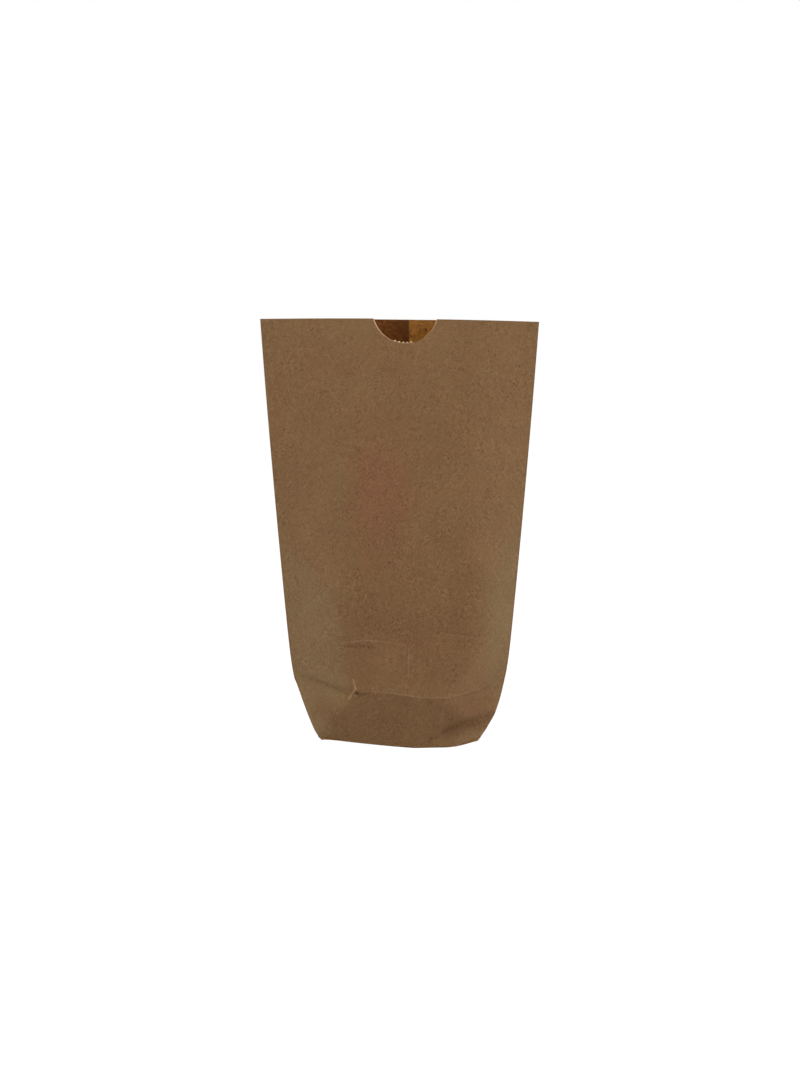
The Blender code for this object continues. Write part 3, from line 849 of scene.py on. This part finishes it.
def carried(tree, value, low, high, to_low=0.0, to_high=1.0, easing="LINEAR"):
    """A value carried from one range to another, and held at the ends of the new one."""
    inputs = {"Value": value, "From Min": low, "From Max": high, "To Min": to_low, "To Max": to_high}
    return node(tree, "MapRange", inputs, interpolation_type=easing).outputs[0]


def mix_colours(tree, factor, first, second):
    """A colour mix's output. A Mix node's colour sockets are its inputs 6 and 7 and its output 2."""
    return node(tree, "Mix", {0: factor, 6: first, 7: second}, data_type="RGBA").outputs[2]


# %% Helpers for node groups
def new_group(name, inputs, outputs):
    """A node group with named sockets, and its two ends."""
    tree = bpy.data.node_groups.new(name, "ShaderNodeTree")
    for socket_name, kind, value in inputs:
        socket = tree.interface.new_socket(socket_name, in_out="INPUT", socket_type="NodeSocket" + kind)
        if value is not None:
            socket.default_value = value
    for socket_name, kind in outputs:
        tree.interface.new_socket(socket_name, in_out="OUTPUT", socket_type="NodeSocket" + kind)
    start, end = tree.nodes.new("NodeGroupInput"), tree.nodes.new("NodeGroupOutput")
    return tree, start.outputs, end.inputs


def use_group(tree, group, inputs):
    """A group placed in a tree, with its inputs."""
    return node(tree, "Group", inputs, node_tree=group).outputs


# %% [markdown]
# ## Kraft paper
#
# Kraft is made from long brown fibres, which lie in all directions and clump. From a step away that is
# a mottle one or two millimetres wide, busy in some patches and calm in others. Closer, single pale and
# dark fibres show, and here and there a fleck of bark. Pale fibres are greyer than dark ones, so a
# lighter spot gains more green and blue than red, and the pulp's hue drifts between red and green over
# a few millimetres. A picture of paper would do for one view, but noise in real sizes holds from all
# sides. The same group serves all three materials, each with strengths of its own.

# %% The kraft group
FIBRE_DIRECTIONS = (20, 75, 130)
FIBRE_FINENESS = (6000, 6000, 900)
TONE_WEIGHTS = (0.9, 1.1, 1.4)
HUE_WEIGHTS = (0.06, -0.06, -0.04)
FLECK_EDGES = (0.17, 0.27)
PATCH_EDGES = (-0.15, 0.15)
PATCH_STRENGTHS = (0.6, 1.3)
# Each noise has its scale per metre, its detail, and how far it is distorted.
NOISES = {
    "mottle": (620.0, 4.0, 0.4), "clouds": (42.0, 3.0, 0.0), "fibre": (1.0, 2.0, 0.6),
    "flecks": (520.0, 1.0, 0.0), "patches": (130.0, 2.0, 0.0), "hue": (210.0, 3.0, 0.0),
    "broad hue": (75.0, 2.0, 0.0), "breaks": (700.0, 2.0, 0.0),
}
kraft, given, made = new_group(
    "kraft",
    [("Place", "Vector", None), ("Paper", "Color", (0.2, 0.11, 0.05, 1)), ("Mottle", "Float", 0.7),
     ("Fibres", "Float", 1.35), ("Clouds", "Float", 0.3), ("Flecks", "Float", 0.16)],
    [("Color", "Color"), ("Height", "Float")],
)
print("kraft takes", [socket.name for socket in given if socket.name])


# %% Noises and fibres
def noise(tree, name, place):
    """Noise around zero, from about minus a half to a half."""
    scale, detail, distortion = NOISES[name]
    inputs = {"Vector": place, "Scale": scale, "Detail": detail, "Distortion": distortion}
    value = node(tree, "TexNoise", inputs, noise_dimensions="3D").outputs[0]
    return maths(tree, "SUBTRACT", value, 0.5)


def fibre_layer(tree, place, degrees):
    """Noise drawn out along one direction of the paper, for fibres that lie that way."""
    turned = node(tree, "Mapping", {"Vector": place, "Rotation": (0, np.radians(degrees), 0),
                                    "Scale": FIBRE_FINENESS})
    return noise(tree, "fibre", turned.outputs[0])


mottle, clouds = (noise(kraft, name, given["Place"]) for name in ("mottle", "clouds"))
layers = [fibre_layer(kraft, given["Place"], degrees) for degrees in FIBRE_DIRECTIONS]
fibres = maths(kraft, "ADD", maths(kraft, "ADD", layers[0], layers[1]), layers[2])
flecks = carried(kraft, noise(kraft, "flecks", given["Place"]), *FLECK_EDGES)
patches = carried(kraft, noise(kraft, "patches", given["Place"]), *PATCH_EDGES, *PATCH_STRENGTHS)
tone = maths(kraft, "MULTIPLY", mottle, given["Mottle"])
tone = maths(kraft, "ADD", tone, maths(kraft, "MULTIPLY", fibres, given["Fibres"]))
tone = maths(kraft, "MULTIPLY", tone, patches)
tone = maths(kraft, "ADD", tone, maths(kraft, "MULTIPLY", clouds, given["Clouds"]))
tone = maths(kraft, "SUBTRACT", tone, maths(kraft, "MULTIPLY", flecks, given["Flecks"]))
hue = maths(kraft, "ADD", noise(kraft, "hue", given["Place"]), noise(kraft, "broad hue", given["Place"]))

# %% The tone and the hue as one colour
grain = vector_maths(kraft, "ADD", scaled(kraft, TONE_WEIGHTS, tone), (1, 1, 1))
grain = vector_maths(kraft, "ADD", grain, scaled(kraft, HUE_WEIGHTS, hue))
kraft.links.new(vector_maths(kraft, "MULTIPLY", given["Paper"], grain), made["Color"])
kraft.links.new(maths(kraft, "ADD", fibres, mottle), made["Height"])
print("kraft has", len(kraft.nodes), "nodes")

# %% [markdown]
# ## Marks that lie along a line
#
# Where kraft has been folded or scored, its surface fibres break and look pale, and where such a line
# runs along a ridge the pale mark is partly a painted highlight. A crease's valley is painted dark, as
# painted shade. Each such mark is a line between two places. The group below measures how far a place
# is from it: it finds the line's nearest point, takes the distance, and fades the mark over its width.
# A painted picture could hold the marks too, but a line moves when a number is changed.

# %% The mark group
mark, given, made = new_group(
    "mark along a line",
    [("Place", "Vector", None), ("Start", "Vector", (0, 0, 0)), ("End", "Vector", (1, 0, 0)),
     ("Width", "Float", 0.001)],
    [("Mask", "Float")],
)
from_start = vector_maths(mark, "SUBTRACT", given["Place"], given["Start"])
line = vector_maths(mark, "SUBTRACT", given["End"], given["Start"])
reached = maths(mark, "DIVIDE", vector_maths(mark, "DOT_PRODUCT", from_start, line),
                vector_maths(mark, "DOT_PRODUCT", line, line), clamp=True)
away = vector_maths(mark, "DISTANCE", from_start, scaled(mark, line, reached))
mark.links.new(carried(mark, away, 0.0, given["Width"], 1.0, 0.0, "SMOOTHSTEP"), made["Mask"])
print("a mark takes", [socket.name for socket in given if socket.name])

# %% [markdown]
# ## The outside of the bag
#
# The outside is plain kraft with four additions. Broad ovals change its colour: a reddish tint left of the
# middle and olive sides, painted shade in brown on the lower panel, beside the left ridge, above the imprint
# and by the dent, and a painted light patch under the dent. Dark marks are painted shade in the valleys of
# creases and in the dent, with one small dark spot, and pale ones lie along folds and scores, where fibres
# broke, partly with a painted highlight on their ridges.
# A pale band runs round the notch, where the blade crushed the paper. The marks' places are moved a
# little by a noise, because no crease is quite straight, and another noise breaks them up into fibres.
# Object coordinates are in metres, so every size here is a real one.

# %% Colours of the paper
PAPER_COLOUR = (0.203, 0.109, 0.0447, 1)
# Painted shade for crease valleys and the dent.
PAINTED_SHADE_COLOUR = (0.075, 0.032, 0.012, 1)
# Pale broken fibres, partly a painted highlight on ridges.
WORN_AND_HIGHLIGHT_COLOUR = (0.36, 0.225, 0.12, 1)
CUT_COLOUR = (0.68, 0.46, 0.27, 1)
RED = (0.210, 0.086, 0.040, 1)
OLIVE = (0.205, 0.132, 0.058, 1)
# Painted shade, laid in ovals on the front.
PAINTED_SHADE_BROWN = (0.170, 0.086, 0.034, 1)
# A painted light patch.
PAINTED_LIGHT_TAN = (0.255, 0.160, 0.078, 1)

# %% Tints, painted shade and a painted light patch on the front
# Across, up, half width, half height in millimetres, softness of the edge, colour and strength.
# The brown ovals are painted shade on the strip below the crease, the lower panel, beside the left ridge,
# above the imprint, at the lower left corner and by the dent. The pale tan one is a painted light patch on
# the facet under the dent.
TINTS_AND_PAINTED_LIGHT = (
    (-10, 136, 25, 54, 0.8, RED, 0.62),
    (-70, 190, 14, 30, 1, RED, 0.5),
    (-2, 199, 10, 12, 1, RED, 0.35),
    (-74, 44, 47, 66, 0.1, OLIVE, 0.5),
    (70, 60, 32, 70, 0.5, OLIVE, 0.6),
    (39, 3, 14, 7, 0.5, PAINTED_LIGHT_TAN, 0.3),
    (-19, 48, 10, 40, 0.7, PAINTED_SHADE_BROWN, 0.45),
    (34, 80, 14, 34, 1, PAINTED_SHADE_BROWN, 0.35),
    (4, 56, 56, 36, 0.8, PAINTED_SHADE_BROWN, 0.5),
    (0, 20, 60, 20, 0.8, PAINTED_SHADE_BROWN, 0.2),
    (36, 20, 20, 12, 0.8, PAINTED_SHADE_BROWN, 0.9),
    (-38, 19, 13, 10, 0.8, PAINTED_SHADE_BROWN, 0.75),
)
print(len(TINTS_AND_PAINTED_LIGHT), "tints are laid over the paper's colour")

# %% Marks on the front
# Start and end across and up the front, width in millimetres, and strength.
# Painted shade in crease valleys, along the imprint and in the dent; the last one is a small dark spot.
SHADE_AND_SPOT_MARKS = (
    (-29, 55, -13, 54.5, 1.3, 0.50),
    (-53, 33.5, -44, 32.6, 2, 0.22),
    (-44, 32.6, -26, 30.2, 1.2, 0.38),
    (-22.3, 30.3, -16.5, 31, 1, 0.55),
    (24, 27.4, 50, 28, 1.6, 0.25),
    (17, 4.8, 24, 8.4, 2.8, 0.40),
    (24, 8.4, 34, 11.2, 3.2, 0.50),
    (34, 11.6, 48, 12.4, 4.8, 0.50),
    (-42.5, 59.8, -30, 59.4, 0.9, 0.20),
    (22.5, 63, 40, 61, 1.2, 0.25),
    (-6.2, 99.4, -5.2, 99.8, 0.9, 1),
)
# Pale broken fibres along folds and scores, partly a painted highlight where they run on a ridge.
WEAR_AND_HIGHLIGHT_MARKS = (
    (-14, 32.2, -3, 31.2, 0.35, 0.4),
    (-3, 31.2, 13, 28.7, 0.35, 0.6),
    (13, 28.7, 23, 28.9, 0.35, 0.5),
    (23, 28.9, 44, 28.6, 0.35, 0.5),
    (-24.8, 38, -23.4, 33.6, 0.8, 1),
    (-23.4, 33.6, -27, 28.2, 0.7, 0.9),
    (4.6, 39, 4.8, 54, 0.5, 0.35),
    (24.3, 28.5, 22, 15.5, 1.2, 0.2),
    (-3.4, 43.2, 4.6, 46.6, 0.3, 0.25),
    (-22.4, 9.6, -21.6, 6, 0.35, 0.45),
    (-26, 57.5, -13, 58.2, 0.9, 0.3),
    (-13, 58.2, 3, 55.6, 0.8, 0.22),
    (22, 61.8, 40, 59.6, 0.5, 0.25),
    (-43, 226, -37, 217.5, 0.8, 0.2),
    (-37, 217.5, -29.5, 224.5, 0.7, 0.2),
    (22, 17.5, 21, 15, 0.5, 0.35),
)
print(len(SHADE_AND_SPOT_MARKS), "dark marks and", len(WEAR_AND_HIGHLIGHT_MARKS), "pale ones lie on it")

# %% Helpers for paper materials
FIBRE_RELIEF = 0.02 * MM
ROUGHNESS = {"kraft_outside": 0.8, "kraft_inside": 0.85, "kraft_cut_edge": 0.9}
SPECULAR = 0.25


def new_material(name):
    """A material with its tree, its shader and its Object coordinates."""
    material = bpy.data.materials.new(name)
    material.use_nodes = True
    tree = material.node_tree
    shader = tree.nodes["Principled BSDF"]
    shader.inputs["Roughness"].default_value = ROUGHNESS[name]
    shader.inputs["Specular IOR Level"].default_value = SPECULAR
    return material, tree, shader, node(tree, "TexCoord", {}).outputs["Object"]


def finish_paper(tree, shader, colour, height):
    """Puts a colour and the fibres' relief on the shader."""
    tree.links.new(colour, shader.inputs["Base Color"])
    bump = node(tree, "Bump", {"Height": height, "Strength": 1.0, "Distance": FIBRE_RELIEF})
    tree.links.new(bump.outputs[0], shader.inputs["Normal"])


# %% Where the front's patterns are measured
WANDER_SCALE = 90.0
WANDER_DETAIL = 3.0
WANDER_REACH = (1.6 * MM, 0, 1.6 * MM)
outside, tree, shader, place = new_material("kraft_outside")
parts = node(tree, "SeparateXYZ", {"Vector": place}).outputs
in_front = maths(tree, "LESS_THAN", parts["Y"], 0.0)
face_on = node(tree, "CombineXYZ", {"X": parts["X"], "Y": 0.0, "Z": parts["Z"]}).outputs[0]
bends = node(tree, "TexNoise", {"Vector": face_on, "Scale": WANDER_SCALE, "Detail": WANDER_DETAIL})
wander = vector_maths(tree, "SUBTRACT", bends.outputs["Color"], (0.5, 0.5, 0.5))
wandering = vector_maths(tree, "ADD", face_on, vector_maths(tree, "MULTIPLY", wander, WANDER_REACH))

# %% Lay the tints under the kraft
paper = PAPER_COLOUR
for x, z, half_width, half_height, softness, tint, strength in TINTS_AND_PAINTED_LIGHT:
    offset = vector_maths(tree, "SUBTRACT", face_on, (x * MM, 0, z * MM))
    shape = vector_maths(tree, "DIVIDE", offset, (half_width * MM, 1, half_height * MM))
    reach = vector_maths(tree, "LENGTH", shape)
    share = carried(tree, reach, 1.0 - softness, 1.0, strength, 0.0, "SMOOTHSTEP")
    paper = mix_colours(tree, maths(tree, "MULTIPLY", share, in_front), paper, tint)
surface = use_group(tree, kraft, {"Place": place, "Paper": paper})

# %% Lay the marks over it
BREAK_EDGES = (-0.2, 0.08)


def marked(marks):
    """The strongest of several marks at each place of the front, broken up by the paper's grain."""
    strongest = 0.0
    for x1, z1, x2, z2, width, strength in marks:
        mask = use_group(tree, mark, {"Place": wandering, "Start": (x1 * MM, 0, z1 * MM),
                                      "End": (x2 * MM, 0, z2 * MM), "Width": width * MM})["Mask"]
        strongest = maths(tree, "MAXIMUM", strongest, maths(tree, "MULTIPLY", mask, strength))
    patchy = carried(tree, noise(tree, "breaks", face_on), *BREAK_EDGES)
    return maths(tree, "MULTIPLY", maths(tree, "MULTIPLY", strongest, in_front), patchy)


# Painted shade first, then pale wear with a painted highlight on ridges.
colour = mix_colours(tree, marked(SHADE_AND_SPOT_MARKS), surface["Color"], PAINTED_SHADE_COLOUR)
colour = mix_colours(tree, marked(WEAR_AND_HIGHLIGHT_MARKS), colour, WORN_AND_HIGHLIGHT_COLOUR)

# %% The pale band round the notch
CUT_BAND = 0.7 * MM
notch_middle = fold_wall(np.array([notch_centre / BAG_WIDTH]), np.array([BAG_HEIGHT]), -1)[0]
notch_place = (notch_middle[0], 0, notch_middle[2] + centre_above_rim)
from_centre = vector_maths(tree, "DISTANCE", face_on, notch_place)
cut_band = carried(tree, from_centre, notch_radius, notch_radius + CUT_BAND, 1.0, 0.0)
cut_band = maths(tree, "MULTIPLY", cut_band, in_front)
colour = mix_colours(tree, cut_band, colour, CUT_COLOUR)
finish_paper(tree, shader, colour, surface["Height"])
print("the outside has", len(tree.nodes), "nodes")

# %% [markdown]
# ## The inside and the cut edges
#
# Through the notch the back wall's inner face shows. One ply of kraft lets some light through and
# looks golden. Where the seam laps, two plies let less through, so the base colour there is painted
# darker, as painted shade, up to the straight edge of the inner ply. The sheet's map says where the lap
# is. The light that comes through the paper is painted as a weak glow, strongest near the rim, where
# most of it arrives.

# %% The inside's material
INSIDE_COLOUR = (0.24, 0.115, 0.035, 1)
DOUBLE_PLY_SHADE_COLOUR = (0.12, 0.050, 0.015, 1)
INSIDE_GLOW = (0.100, 0.039, 0.005, 1)
DOUBLE_GLOW = (0.043, 0.013, 0.002, 1)
GLOW_HEIGHTS = (40 * MM, 220 * MM)
LAP_SHADE = 16 * MM
INSIDE_GRAIN = {"Mottle": 0.5, "Fibres": 0.25, "Clouds": 0.25, "Flecks": 0.2}
GLOW_GRAIN = {"Mottle": 3.5, "Fibres": 1.0, "Clouds": 1.5, "Flecks": 0.2}
LAP_GLOWS = (0.55, 1.5)
LOWEST_GLOW = 0.3
inside, tree, shader, place = new_material("kraft_inside")
on_sheet = node(tree, "UVMap", {}, uv_map="sheet").outputs[0]
sheet_x = node(tree, "SeparateXYZ", {"Vector": on_sheet}).outputs["X"]
single = maths(tree, "GREATER_THAN", sheet_x, -outer_edge / MAP_UNIT)
# Painted shade: the lap's two plies get a darker base colour.
paper = mix_colours(tree, single, DOUBLE_PLY_SHADE_COLOUR, INSIDE_COLOUR)
surface = use_group(tree, kraft, {"Place": place, "Paper": paper, **INSIDE_GRAIN})
finish_paper(tree, shader, surface["Color"], surface["Height"])
past_edge = maths(tree, "ABSOLUTE", maths(tree, "ADD", sheet_x, inner_edge / MAP_UNIT))
from_edge = carried(tree, past_edge, 0.0, LAP_SHADE / MAP_UNIT, *LAP_GLOWS)
# Painted light: the light that comes through the paper, as a glow.
glow = mix_colours(tree, single, scaled(tree, DOUBLE_GLOW[:3], from_edge), INSIDE_GLOW)
glowing = use_group(tree, kraft, {"Place": place, "Paper": glow, **GLOW_GRAIN})["Color"]
height = node(tree, "SeparateXYZ", {"Vector": place}).outputs["Z"]
fading = carried(tree, height, *GLOW_HEIGHTS, LOWEST_GLOW)
glowing = mix_colours(tree, fading, (0, 0, 0, 1), glowing)
tree.links.new(glowing, shader.inputs["Emission Color"])
shader.inputs["Emission Strength"].default_value = 1.0

# %% The cut edge's material
CUT_GRAIN = {"Fibres": 0.3}
cut, tree, shader, place = new_material("kraft_cut_edge")
surface = use_group(tree, kraft, {"Place": place, "Paper": CUT_COLOUR, **CUT_GRAIN})
finish_paper(tree, shader, surface["Color"], surface["Height"])
for material in (outside, inside, cut):
    bag_mesh.materials.append(material)
print("materials:", [material.name for material in bag_mesh.materials])

# %% [markdown]
# ## The bag and the frame
#
# The bag has no joints, so it rides on the frame's one body. It replaces the plain CAD solid in
# pictures, and that solid stays in the physics.

# %% Attach the bag to the frame
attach(bag, "root")
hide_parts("bag")
print(bag.name, "rides on root and stands for the node bag")

# %% [markdown]
# ## Floor, backdrop and light
#
# The photograph has a pure white background. The floor and the world are white where they are seen,
# directly or in a reflection, and moderate as light, so that the white doesn't light the paper from
# all sides. The floor keeps a small share of its real shading, which is where the soft shadow comes
# from. The light is even: two lamps on each side, one above, and one behind the bag for its back.

# %% The floor and the world
FLOOR_SIZE = 6.0
FLOOR_WHITE = 0.9
FLOOR_GLOW = 1.12
FLOOR_GREY = (0.8, 0.8, 0.8, 1)
WHITE = (1, 1, 1, 1)
AMBIENT = (0.08, 0.08, 0.08, 1)


def seen_directly(tree):
    """One where a camera, glossy or transmission ray meets the surface, and zero for diffuse light."""
    rays = node(tree, "LightPath", {}).outputs
    seen = maths(tree, "MAXIMUM", rays["Is Camera Ray"], rays["Is Glossy Ray"])
    return maths(tree, "MAXIMUM", seen, rays["Is Transmission Ray"])


bpy.ops.mesh.primitive_plane_add(size=FLOOR_SIZE)
floor = bpy.context.object
floor.name = "floor"
floor_material = bpy.data.materials.new("floor_white")
floor_material.use_nodes = True
tree = floor_material.node_tree
tree.nodes.clear()
plain = node(tree, "BsdfDiffuse", {"Color": FLOOR_GREY})
white = node(tree, "Emission", {"Color": WHITE, "Strength": FLOOR_GLOW})
share = maths(tree, "MULTIPLY", seen_directly(tree), FLOOR_WHITE)
mixed = node(tree, "MixShader", {0: share, 1: plain.outputs[0], 2: white.outputs[0]})
node(tree, "OutputMaterial", {"Surface": mixed.outputs[0]})
floor.data.materials.append(floor_material)

world = bpy.data.worlds.new("studio")
bpy.context.scene.world = world
world.use_nodes = True
tree = world.node_tree
tree.nodes.clear()
ambient = node(tree, "Background", {"Color": AMBIENT, "Strength": 1.0})
white = node(tree, "Background", {"Color": WHITE, "Strength": 1.0})
mixed = node(tree, "MixShader", {0: seen_directly(tree), 1: ambient.outputs[0], 2: white.outputs[0]})
node(tree, "OutputWorld", {"Surface": mixed.outputs[0]})
print("the floor is", FLOOR_SIZE, "m wide")

# %% The lamps
# Each lamp has its place, its size in metres and its power in watts.
LAMPS = (
    ("lamp_left_low", (-1.10, -0.40, 0.20), 0.7, 6.5),
    ("lamp_left_high", (-0.95, -0.75, 0.80), 0.7, 3.0),
    ("lamp_right_low", (1.10, -0.40, 0.20), 0.7, 7.8),
    ("lamp_right_high", (0.95, -0.75, 0.80), 0.7, 2.9),
    ("lamp_above", (0.0, -0.35, 1.30), 0.7, 5.2),
    ("lamp_behind", (0.15, 1.00, 1.30), 0.9, 8.0),
)
aim = np.array([0, 0, rim_height / 2])
for name, spot, size, power in LAMPS:
    lamp_data = bpy.data.lights.new(name, "AREA")
    lamp_data.size, lamp_data.energy = size, power
    lamp = bpy.data.objects.new(name, lamp_data)
    lamp.location = spot
    direction = np.array(spot) - aim
    across = np.hypot(direction[0], direction[1])
    lamp.rotation_euler = (np.arctan2(across, direction[2]), 0, np.arctan2(direction[0], -direction[1]))
    bpy.context.scene.collection.objects.link(lamp)
bpy.context.scene.view_settings.view_transform = "Standard"
print(len(LAMPS), "lamps are aimed at the bag's middle")
